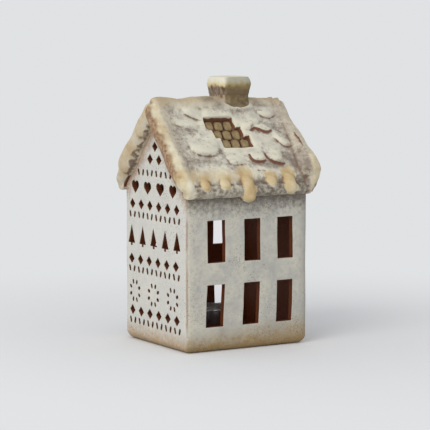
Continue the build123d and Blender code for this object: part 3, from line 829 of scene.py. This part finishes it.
def snow_marks(side, points, normals):
    """Where the stains lie on a slope's skin, as shares from 0 to 1, and how far down the slope it is."""
    wander_spacing = 3.0
    rear_cheek = 0.3
    x = side * points[:, 0]
    out = -side * points[:, 1]
    drop = ridge_top - points[:, 2]
    fall = out * across + drop * down
    rise = out * down - drop * across
    outward = np.sign(points[:, 0]) * normals[:, 0]
    wander = np.array([noise.noise(Vector(p) / wander_spacing) for p in points])

    # Creases lie below the lips, widest at the middle of a dark one, and all over the beds of the tiles;
    # under the lips they are brown stain with painted shade
    crease = np.zeros(len(points))
    seen = rise > 1.0
    for (_, _, _, dark), line in zip(lips, lip_lines):
        gap, share = from_line(line, x[seen], fall[seen])
        fade = smooth_step(0, 0.12, share) * (1 - smooth_step(0.88, 1, share))
        width = (0.3 + 3.2 * dark**3) * np.sin(np.pi * share) ** 0.5 + 0.7 * wander[seen]
        mark = dark * fade * np.exp(-np.where(gap > 0, gap / np.maximum(width, 0.15), gap / 0.3) ** 2)
        crease[seen] = np.maximum(crease[seen], mark)
    crease = np.maximum(crease, smooth_step(0.05, 0.5, tile_recess(side, x, fall)) * (rise > -0.3))
    stain_and_shade = np.zeros(len(points))
    for dab_x, dab_fall, half_width, half_fall, strength in dabs:
        stain_and_shade += strength * np.exp(-((x - dab_x) / half_width) ** 2 - ((fall - dab_fall) / half_fall) ** 2)

    # Drips keep their ochre on the dark eave, which is stain with painted shade, and a fainter band joins
    # them on the left
    drip = np.zeros(len(points))
    for drip_x, half_width, tip, start in drips:
        below = np.maximum(tip + half_width - points[:, 2], 0)
        beside = np.hypot(x - drip_x, below) / half_width + 0.25 * wander
        upper = smooth_step(start - 5, start + 4, fall + 3 * wander)
        drip = np.maximum(drip, upper * (1 - smooth_step(0.8, 1.08, beside)))
    right = smooth_step(-2, 8, x)
    band = smooth_step(51, 58, fall + 3 * wander) * (1 - smooth_step(62, 66, fall)) * (1 - 0.8 * right)
    drip = np.maximum(drip, 0.5 * band * (rise > 0))
    # Painted shade on the eave between the drips, with stain, darker to the right away from the light
    eave = smooth_step(61.5 - 4 * right, 69 - 4 * right, fall + 4 * wander) * (0.84 + 0.16 * right)
    eave *= 1 - smooth_step(42, 46, np.abs(x))

    # A verge has a cream rim, a cheek rubbed to umber and a dark seam where it meets the wall, stain with
    # painted shade under the roll, and the lower left corner of the front is all rim
    swelling = (x > 0) * (side == 1)
    rim_offset = swelling * (2.5 - 5.0 * smooth_step(44, 54, fall))
    rim = smooth_step(46.8, 49.8, np.abs(x) - rim_offset + wander)
    cheek = (1 - smooth_step(3.2, 6.6, rise + 1.5 * wander)) * smooth_step(0, 0.4, outward) * rim
    # Painted shade under the verge roll, with dark stain, where it meets the wall
    seam_stain_and_shade = rim * (1 - smooth_step(-7.0, -3.8, rise + 2.5 * wander)) * (fall < slope_length - 6)
    corner = smooth_step(58, 63, fall + 2 * wander) * smooth_step(41, 43.5, -x + wander) * (side == 1)
    return {
        "crease": crease, "stain_and_shade": np.clip(stain_and_shade, 0, 1), "drip": drip, "eave": eave, "fall": fall,
        "verge": smooth_step(33, 43, np.abs(x)), "rim": np.maximum(rim, corner), "seam_stain_and_shade": seam_stain_and_shade,
        "cheek": cheek * (1 - corner) * (1.0 if side == 1 else rear_cheek),
    }


def snow_coat(side):
    """The snow on one slope, the front one with the ridge roll, and the places for its stains kept."""
    bedding = 0.6
    eave_overrun = 0.8
    fine_passes = 8
    fine_hollow = 0.25
    broad_passes = 60
    along = np.arange(-verge_middle, verge_middle + 0.01, voxel)
    falls = np.arange(-3, slope_length - 2.5, voxel)
    grid_x, grid_f = np.meshgrid(along, falls, indexing="ij")
    form = bmesh.new()
    heights = coat_height(side, grid_x, grid_f)
    add_shell(form, on_slope(side, grid_x, grid_f, heights), on_slope(side, grid_x, grid_f, -bedding))
    eave_x = np.linspace(-verge_middle - eave_overrun, verge_middle + eave_overrun, 80)
    eave_line = [(x, -side * (eave_reach - 1.1), eave_height + eave_radius - 1.5) for x in eave_x]
    thin_end = 0.4 * smooth_step(verge_middle - 2, verge_middle, eave_x) * (side == 1)
    add_roll(form, eave_line, eave_radius * (1 - thin_end))
    for drip in drips:
        add_drip(form, side, *drip)
    for hand in (-1, 1):
        add_verge(form, side, hand)
    if side == 1:
        add_ridge(form)
    mesh = worked_together(form)
    points, normals = skin_points(mesh)
    fingered = np.array([noise.noise(Vector(p) / 6.5) + 0.45 * noise.noise(Vector(p) / 2.7) for p in points])
    points += normals * (finger_height * fingered)[:, None]
    mesh.vertices.foreach_set("co", (points * MM).astype(np.float32).ravel())
    mesh.update()
    points, normals = skin_points(mesh)
    edges = read_rows(mesh.edges, "vertices", 2, np.int32)
    marks = snow_marks(side, points, normals)
    marks["hollow"] = np.clip(hollow(points, normals, edges, fine_passes) / fine_hollow, -1, 1)
    marks["dip"] = np.clip(hollow(points, normals, edges, broad_passes), -1, 1)
    for name, values in marks.items():
        keep_mark(mesh, name, values)
    mesh.shade_smooth()
    return mesh


# Off-white slip on worked clay: a chalky white that greys in the dips, creamy ochre where the brush dragged
# over the rolls and drips, and grey-brown to red-brown stain left in the hollows and creases. The creases
# under the lips, the eave between the drips, the seams under the verges and some dabs also carry painted
# shade.
snow, tree, coordinates = new_material("chalky_snow_slip")
clouds = put(tree, "TexNoise", {"Vector": coordinates, "Scale": 1 / (snow_cloud_mm * MM), "Detail": 4.0})
grain = put(
    tree, "TexNoise",
    {"Vector": coordinates, "Scale": 1 / (snow_grain_mm * MM), "Detail": 5.0, "Roughness": 0.68},
)
uneven = put(tree, "Math", {0: grain, 1: 0.5}, operation="SUBTRACT")
marks = {
    name: put(tree, "Attribute", attribute_name=name).node.outputs["Fac"]
    for name in ("crease", "hollow", "dip", "stain_and_shade", "drip", "eave", "verge", "rim", "cheek", "seam_stain_and_shade", "fall")
}
coat = put(
    tree, "ValToRGB", {0: clouds},
    stops=[(0.34, "#c1beb0"), (0.48, "#d1cdbd"), (0.6, "#dcd8c4"), (0.72, "#e3ddc8")],
)
verge_cream = put(
    tree, "ValToRGB", {0: clouds},
    stops=[(0.34, "#c3ae89"), (0.46, "#d2c5a4"), (0.58, "#dbd3b8"), (0.72, "#dedac8")],
)
umber = put(tree, "ValToRGB", {0: grain}, stops=[(0.34, "#6f523c"), (0.5, "#967758"), (0.66, "#bb9e77")])
drip_ochre = put(
    tree, "ValToRGB", {0: clouds}, stops=[(0.35, "#b99a65"), (0.5, "#c7ae7c"), (0.65, "#d3c39d")]
)
# The eave between the drips: stain with painted shade
open_eave = put(tree, "Math", {0: marks["eave"], 1: marks["drip"]}, operation="SUBTRACT")
brown_most = put(tree, "MapRange", {0: marks["rim"], 3: 0.8, 4: 0.3})

# Washes in the order they lie: the mark each follows, how far the grain frays it, the marks where it starts
# and is full, how much it covers at the most, and its colour
colour = coat
for mark, fray, start, full, most, over in (
    (marks["dip"], 0.0, -0.1, -0.8, 0.7, "#e3ddc6"),
    (marks["verge"], 1.4, 0.35, 1.35, 0.8, "#9c8873"),
    (marks["fall"], 12.0, 5.0, -3.0, 0.75, "#ac946c"),
    (marks["rim"], 0.0, 0.0, 1.0, 0.9, verge_cream),
    (marks["cheek"], 0.0, 0.0, 1.0, 1.0, umber),
    (marks["dip"], 1.3, 0.05, 0.6, 0.75, "#918578"),
    # Dabs: grey-brown stain, with painted shade below some lips
    (marks["stain_and_shade"], 1.8, 0.2, 1.0, 0.85, "#7c6e62"),
    (open_eave, 2.2, 0.2, 1.2, 0.95, "#64574a"),
    (marks["drip"], 0.6, 0.1, 0.8, 0.88, drip_ochre),
    (marks["hollow"], 0.9, 0.35, 1.0, brown_most, "#6b4f3b"),
    (marks["seam_stain_and_shade"], 2.0, 0.3, 0.95, 0.85, "#573d2c"),
    # Creases: brown stain with the painted shade under each lip, and the dark joints between the tiles
    (marks["crease"], 0.9, 0.25, 0.75, 0.95, "#6b3c20"),
):
    frayed = put(tree, "Math", {0: uneven, 1: fray, 2: mark}, operation="MULTIPLY_ADD")
    share = put(tree, "MapRange", {0: frayed, 1: start, 2: full, 4: most})
    colour = put(tree, "Mix", {0: share, 6: colour, 7: over}, data_type="RGBA")
rough = put(tree, "MapRange", {0: grain, 1: 0.3, 2: 0.7, 3: 0.5, 4: 0.7})
surface(tree, colour, rough, height=grain, strength=0.35, depth=0.5)
place(
    "front_snow_coat", snow_coat(1), snow, "house", "snow_clay", "front_roof_snow", "front_eave_snow",
    "left_front_verge_snow", "right_front_verge_snow", "ridge_snow",
)
place(
    "rear_snow_coat", snow_coat(-1), snow, "house", "snow_clay", "rear_roof_snow", "rear_eave_snow",
    "left_rear_verge_snow", "right_rear_verge_snow",
)

# Chimney: a square stack of clay set over the ridge, drawn in a little below its cushion of snow. The stack
# is stained brown, streaked on the left and olive on the front, painted darker there as shade, and the
# cushion is brushed with slip.
stack_y = (stack_low.y + stack_high.y) / 2
half_x = stack_half_x
half_y = (stack_high.y - stack_low.y) / 2
cap_low, cap_high = in_mm(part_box("chimney_snow"))
neck = cap_low.z
cap_x = half_x + 1.75
cap_y = half_y + 1.75
cap_top = cap_high.z - 0.15
dent = 0.3
dent_spacing = 5
drawn_out = (1.0, 1.0, 0.2)
stack_streak_mm = 2.2
blot_mm = 4.0
cap_streak_mm = 1.8
cap_grain_mm = 4.0
cap_fray_mm = 8


def squared_loft(name, sections, sides=72, steps=6):
    """A closed form through rounded squares: each section is its height, half sizes and squareness."""
    rings = []
    for z, wide, deep, power in eased_line(sections, steps):
        ring = []
        for turn in turns(sides):
            x, y = squared_circle(turn, power)
            point = Vector((stack_x + wide * x, stack_y + deep * y, z))
            pressed = dent * noise.noise_vector(point / dent_spacing)
            ring.append(point + Vector((pressed.x, pressed.y, 0)))
        rings.append(ring)
    form = bmesh.new()
    add_skin(form, rings)
    return smooth_mesh(name, form)


stack_mesh = squared_loft(
    "stack",
    [
        (stack_low.z + 1, half_x, half_y, 6),
        (ridge_top, half_x + 0.4, half_y + 0.3, 6),
        (ridge_top + 4, half_x + 0.4, half_y + 0.2, 6),
        (ridge_top + 8, half_x, half_y - 0.1, 6),
        (neck, half_x, half_y, 6),
        (neck + 3, half_x - 0.4, half_y - 0.4, 6),
    ],
)

# Brown-stained clay: matt, with the stain run down in streaks, and pale slip spattered up from the snow.
brown_clay, tree, coordinates = new_material("brown_stained_clay")
normal = put(tree, "SeparateXYZ", {0: coordinates.node.outputs["Normal"]}).node.outputs
run_down = put(tree, "Mapping", {"Vector": coordinates, "Scale": drawn_out})
streaks = put(tree, "TexNoise", {"Vector": run_down, "Scale": 1 / (stack_streak_mm * MM), "Detail": 4.0})
blots = put(tree, "TexNoise", {"Vector": coordinates, "Scale": 1 / (blot_mm * MM), "Detail": 5.0})
streaked = put(
    tree, "ValToRGB", {0: streaks},
    stops=[(0.36, "#6b5745"), (0.5, "#8b765f"), (0.64, "#b09f87")],
)
olive_and_shade = put(tree, "ValToRGB", {0: blots}, stops=[(0.35, "#5d4c31"), (0.5, "#6f5d3c"), (0.65, "#816e49")])
# Painted shade: the front face, away from the light, is stained olive and painted darker
shaded_front_face = put(tree, "MapRange", {0: normal[0], 1: -0.75, 2: -0.35})
height = put(tree, "SeparateXYZ", {0: coordinates}).node.outputs[2]
spatter_most = put(tree, "MapRange", {0: shaded_front_face, 3: 0.8, 4: 0.15})
spatter_level = put(tree, "Math", {0: blots, 1: -26 * MM, 2: height}, operation="MULTIPLY_ADD")
spatter = put(
    tree, "MapRange",
    {0: spatter_level, 1: (ridge_top - 6) * MM, 2: (ridge_top - 12) * MM, 4: spatter_most},
)
colour = streaked
for share, over in ((shaded_front_face, olive_and_shade), (spatter, "#b8ab99")):
    colour = put(tree, "Mix", {0: share, 6: colour, 7: over}, data_type="RGBA")
surface(tree, colour, 0.65, height=streaks, strength=0.4, depth=0.5)
place("chimney_stack_clay", stack_mesh, brown_clay, "house", "painted_clay", "chimney_stack")

cap_mesh = squared_loft(
    "cap",
    [
        (neck - 2.4, half_x - 0.8, half_y - 0.8, 6),
        (neck - 0.8, half_x + 0.2, half_y + 0.2, 6),
        (neck + 2.0, half_x + 0.8, half_y + 0.8, 5.5),
        (neck + 5.6, cap_x, cap_y, 5),
        (cap_top - 3.6, cap_x - 0.2, cap_y - 0.2, 4.5),
        (cap_top - 1.4, cap_x - 1.0, cap_y - 1.0, 4.2),
        (cap_top - 0.3, cap_x - 2.8, cap_y - 2.8, 3.8),
        (cap_top, 0.4, 0.4, 2.0),
    ],
)

# Slip on clay: chalky cream, painted lighter on top and on the left, where the light falls, and greyer on
# the front as painted shade; thin and ochre towards the neck, where the brown stain runs through in streaks.
cap_slip, tree, coordinates = new_material("cushion_slip")
axes = put(tree, "SeparateXYZ", {0: coordinates}).node.outputs
normal = put(tree, "SeparateXYZ", {0: coordinates.node.outputs["Normal"]}).node.outputs
grain = put(
    tree, "TexNoise",
    {"Vector": coordinates, "Scale": 1 / (cap_grain_mm * MM), "Detail": 5.0, "Roughness": 0.6},
)
ragged = put(
    tree, "Math", {0: grain, 1: cap_fray_mm * MM, 2: -cap_fray_mm / 2 * MM},
    operation="MULTIPLY_ADD",
)
level = put(tree, "Math", {0: axes[2], 1: ragged})
height = put(tree, "MapRange", {0: level, 1: neck * MM, 2: cap_top * MM})
lit_cream_side = put(
    tree, "ValToRGB", {0: height},
    stops=[(0.28, "#8f7b66"), (0.38, "#bfa06a"), (0.5, "#d8c99f"), (0.72, "#dedac6")],
)
shaded_grey_side = put(
    tree, "ValToRGB", {0: height},
    stops=[(0.15, "#6f5d3c"), (0.38, "#8b784a"), (0.55, "#a49468"), (0.74, "#aca996")],
)
# Painted shade on the front face and painted light on the left face and on top
shaded_front_face = put(tree, "MapRange", {0: normal[0], 1: -0.7, 2: -0.2})
lit_top = put(tree, "MapRange", {0: normal[2], 1: 0.55, 2: 0.95, 4: 0.8})
run_down = put(tree, "Mapping", {"Vector": coordinates, "Scale": drawn_out})
streaks = put(tree, "TexNoise", {"Vector": run_down, "Scale": 1 / (cap_streak_mm * MM), "Detail": 4.0})
streak_most = put(tree, "MapRange", {0: shaded_front_face, 3: 1.0, 4: 0.25})
streak_level = put(tree, "MapRange", {0: height, 1: 0.46, 2: 0.3, 4: streak_most})
streak_share = put(tree, "MapRange", {0: streaks, 1: 0.42, 2: 0.6, 4: streak_level})
colour = lit_cream_side
for share, over in ((shaded_front_face, shaded_grey_side), (lit_top, "#d8d3bd"), (streak_share, "#5d4a38")):
    colour = put(tree, "Mix", {0: share, 6: colour, 7: over}, data_type="RGBA")
surface(tree, colour, 0.55, height=grain, strength=0.35, depth=0.5)
place("chimney_snow_cushion", cap_mesh, cap_slip, "house", "snow_clay", "chimney_snow")

# Tealight: a thin pressed aluminium cup filled with cast paraffin, with a braided cotton wick held by a
# tinned steel tab under the wax. It stands loose on the floor.
cup_low, cup_high = in_mm(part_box("tealight_cup"))
wax_low, wax_high = in_mm(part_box("tealight_wax"))
wick_low, wick_high = in_mm(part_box("tealight_wick"))
cup_middle = (cup_low + cup_high) / 2
rim_radius = (cup_high.x - cup_low.x) / 2
cup_radius = rim_radius - 0.5
cup_wall = 0.4
flutes = 48
flute_depth = 0.004
cup_sides = 8 * flutes
wax_radius = (wax_high.x - wax_low.x) / 2
wax_sides = 96
strand_radius = 0.36
strand_lay = 0.42
strand_sides = 8
strand_steps = 120
strands = 3
wick_turns = 7
wick_end = 0.4
dent_mm = 5.0
cloudy_mm = 7.0
fibre_mm = 0.5


def turned_form(name, profile, sides, flute=0.0):
    """A form turned about the tealight's axis from (radius, height) points, with flutes where it has any."""
    rings = []
    for radius, z in profile:
        ring = []
        for turn in turns(sides):
            pressed = radius * (1 - flute * (0.5 + 0.5 * math.cos(flutes * turn)))
            x = cup_middle.x + pressed * math.cos(turn)
            y = cup_middle.y + pressed * math.sin(turn)
            ring.append((x, y, z))
        rings.append(ring)
    form = bmesh.new()
    add_skin(form, rings, capped=False)
    bmesh.ops.recalc_face_normals(form, faces=form.faces)
    mesh = smooth_mesh(name, form)
    mesh.set_sharp_from_angle(angle=math.radians(50))
    return mesh


# Pressed aluminium: bright metal with a satin face, softly dented so that its reflections break up.
pressed_metal, tree, coordinates = new_material("pressed_aluminium")
dents = put(tree, "TexNoise", {"Vector": coordinates, "Scale": 1 / (dent_mm * MM), "Detail": 3.0})
sheen = put(tree, "ValToRGB", {0: dents}, stops=[(0.3, "#b9babc"), (0.7, "#dddde0")])
surface(tree, sheen, 0.34, height=dents, strength=0.2, depth=0.3, metallic=1.0)
base = cup_low.z
top = cup_high.z
cup_profile = [
    (0.3, base), (cup_radius - 1.2, base), (cup_radius - 0.35, base + 0.3), (cup_radius, base + 1.2),
    (cup_radius, top - 1.4), (cup_radius + 0.1, top - 1.0), (rim_radius - 0.05, top - 0.85),
    (rim_radius, top - 0.5), (rim_radius - 0.1, top - 0.12), (cup_radius, top),
    (cup_radius - cup_wall, top - 0.3), (cup_radius - cup_wall, base + 1.4),
    (cup_radius - 1.0, base + cup_wall), (0.3, base + cup_wall),
]
cup_mesh = turned_form("cup", cup_profile, cup_sides, flute_depth)
place("tealight_cup_pressed", cup_mesh, pressed_metal, "tealight", "cup_aluminium", "tealight_cup")
dress(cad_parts["wick_tab"].data, pressed_metal)

# Cast paraffin: smooth and faintly cloudy, a warm white with a waxy shine.
paraffin, tree, coordinates = new_material("cast_paraffin")
cast = put(tree, "TexNoise", {"Vector": coordinates, "Scale": 1 / (cloudy_mm * MM), "Detail": 3.0})
wax = put(tree, "ValToRGB", {0: cast}, stops=[(0.3, "#e2ddcf"), (0.7, "#f0ece1")])
surface(tree, wax, 0.42, height=cast, strength=0.15, depth=0.4)
base = wax_low.z
top = wax_high.z
wax_profile = [
    (0.9, base + 3.2), (wax_radius - 1.5, base + 0.8), (wax_radius - 0.3, base + 1.6),
    (wax_radius, base + 2.4), (wax_radius, top), (wax_radius - 0.4, top - 0.1),
    (wax_radius - 1.6, top - 0.5), (wax_radius * 0.6, top - 0.75), (4.0, top - 0.8), (1.6, top - 0.5),
    (0.9, top - 0.1),
]
wax_mesh = turned_form("wax", wax_profile, wax_sides)
place("tealight_wax_cast", wax_mesh, paraffin, "tealight", "wax", "tealight_wax")

# Waxed cotton: pale, dull and fibrous, with fibres drawn coarser than they are so that they show.
cotton, tree, coordinates = new_material("waxed_cotton_braid")
fibres = put(tree, "TexNoise", {"Vector": coordinates, "Scale": 1 / (fibre_mm * MM), "Detail": 3.0})
thread = put(tree, "ValToRGB", {0: fibres}, stops=[(0.3, "#cfc8b6"), (0.7, "#e9e4d6")])
surface(tree, thread, 0.8, height=fibres, strength=0.4, depth=0.1)
braid = bmesh.new()
for i in range(strands):
    share = np.linspace(0, 1, strand_steps)
    turn = 2 * math.pi * (wick_turns * share + i / strands)
    strand_z = wick_low.z + wick_end + (wick_high.z - wick_low.z - 2 * wick_end) * share
    strand_x = cup_middle.x + strand_lay * np.cos(turn)
    strand_y = cup_middle.y + strand_lay * np.sin(turn)
    add_roll(braid, np.stack([strand_x, strand_y, strand_z], axis=1), strand_radius, sides=strand_sides)
bmesh.ops.recalc_face_normals(braid, faces=braid.faces)
wick_mesh = smooth_mesh("wick", braid)
place("tealight_wick_braid", wick_mesh, cotton, "tealight", "wick_cotton", "tealight_wick")

# Studio: a pale seamless sweep, a large soft light from the left and an even sky. The sweep and the sky
# fade into one pale grey for the camera and in reflections. Lengths here are in metres.
backdrop_grey = "#e0e2e4"
sweep_reach = 6.0
fade_start = 0.1
fade_end = 0.42
key_size = 1.1
key_power = 9.0
key_spot = Vector((-1.05, -0.55, 0.95))
key_target = Vector((0, 0, 0.09))
sweep_corners = [(x * sweep_reach, y * sweep_reach, 0) for x, y in ((-1, -1), (1, -1), (1, 1), (-1, 1))]
sweep_mesh = bpy.data.meshes.new("sweep")
sweep_mesh.from_pydata(sweep_corners, [], [(0, 1, 2, 3)])
sweep = stand("sweep", sweep_mesh)


def seen_directly(tree):
    """1 for rays from the camera, in reflections and through glass, 0 for the rays that light the object."""
    path = put(tree, "LightPath").node.outputs
    seen = path["Is Camera Ray"]
    for ray in ("Is Glossy Ray", "Is Transmission Ray"):
        seen = put(tree, "Math", {0: seen, 1: path[ray]}, operation="MAXIMUM")
    return seen


def aim(thing, spot, target):
    """Stands a light or a camera at a spot and turns it to a target."""
    thing.location = spot
    thing.rotation_mode = "QUATERNION"
    thing.rotation_quaternion = (target - spot).to_track_quat("-Z", "Y")


# Matt paper: takes the soft shadow of the house, and further off gives way to the backdrop's grey.
paper, tree, coordinates = new_material("pale_paper")
sheet = put(tree, "BsdfPrincipled", {"Base Color": "#e6e7e8", "Roughness": 0.9, "Specular IOR Level": 0.1})
distance = put(tree, "VectorMath", {0: coordinates}, operation="LENGTH")
far = put(tree, "MapRange", {0: distance, 1: fade_start, 2: fade_end}, interpolation_type="SMOOTHSTEP")
fade = put(tree, "Math", {0: far, 1: seen_directly(tree)}, operation="MULTIPLY")
glow = put(tree, "Emission", {"Color": backdrop_grey})
blend = put(tree, "MixShader", {0: fade, 1: sheet, 2: glow})
put(tree, "OutputMaterial", {"Surface": blend})
dress(sweep_mesh, paper)

world = bpy.data.worlds.new("studio")
bpy.context.scene.world = world
world.use_nodes = True
tree = world.node_tree
tree.nodes.clear()
sky = put(tree, "Background", {"Color": "#fbfcff", "Strength": 0.7})
seen_sky = put(tree, "Background", {"Color": backdrop_grey, "Strength": 1.0})
skies = put(tree, "MixShader", {0: seen_directly(tree), 1: sky, 2: seen_sky})
put(tree, "OutputWorld", {"Surface": skies})

key_light = bpy.data.lights.new("key", "AREA")
key_light.shape = "DISK"
key_light.size = key_size
key_light.energy = key_power
key_light.color = (1.0, 0.98, 0.95)
aim(stand("key", key_light), key_spot, key_target)

# Camera: it stands where the photo was taken from, as worked out from the corners and openings of the walls,
# and looks at the middle of the house through a long lens.
camera_spot = Vector((-649.3, -1089.3, 209.7)) * MM
camera_target = Vector((-1.38, -1.77, 85.88)) * MM
camera_data = bpy.data.cameras.new("camera")
camera_data.sensor_width = 36.0
camera_data.lens = 157.1
camera_data.clip_start = 0.05
camera_data.clip_end = 50.0
camera = stand("camera", camera_data)
aim(camera, camera_spot, camera_target)
bpy.context.scene.camera = camera
bpy.context.scene.view_settings.view_transform = "Standard"

bpy.context.view_layer.update()
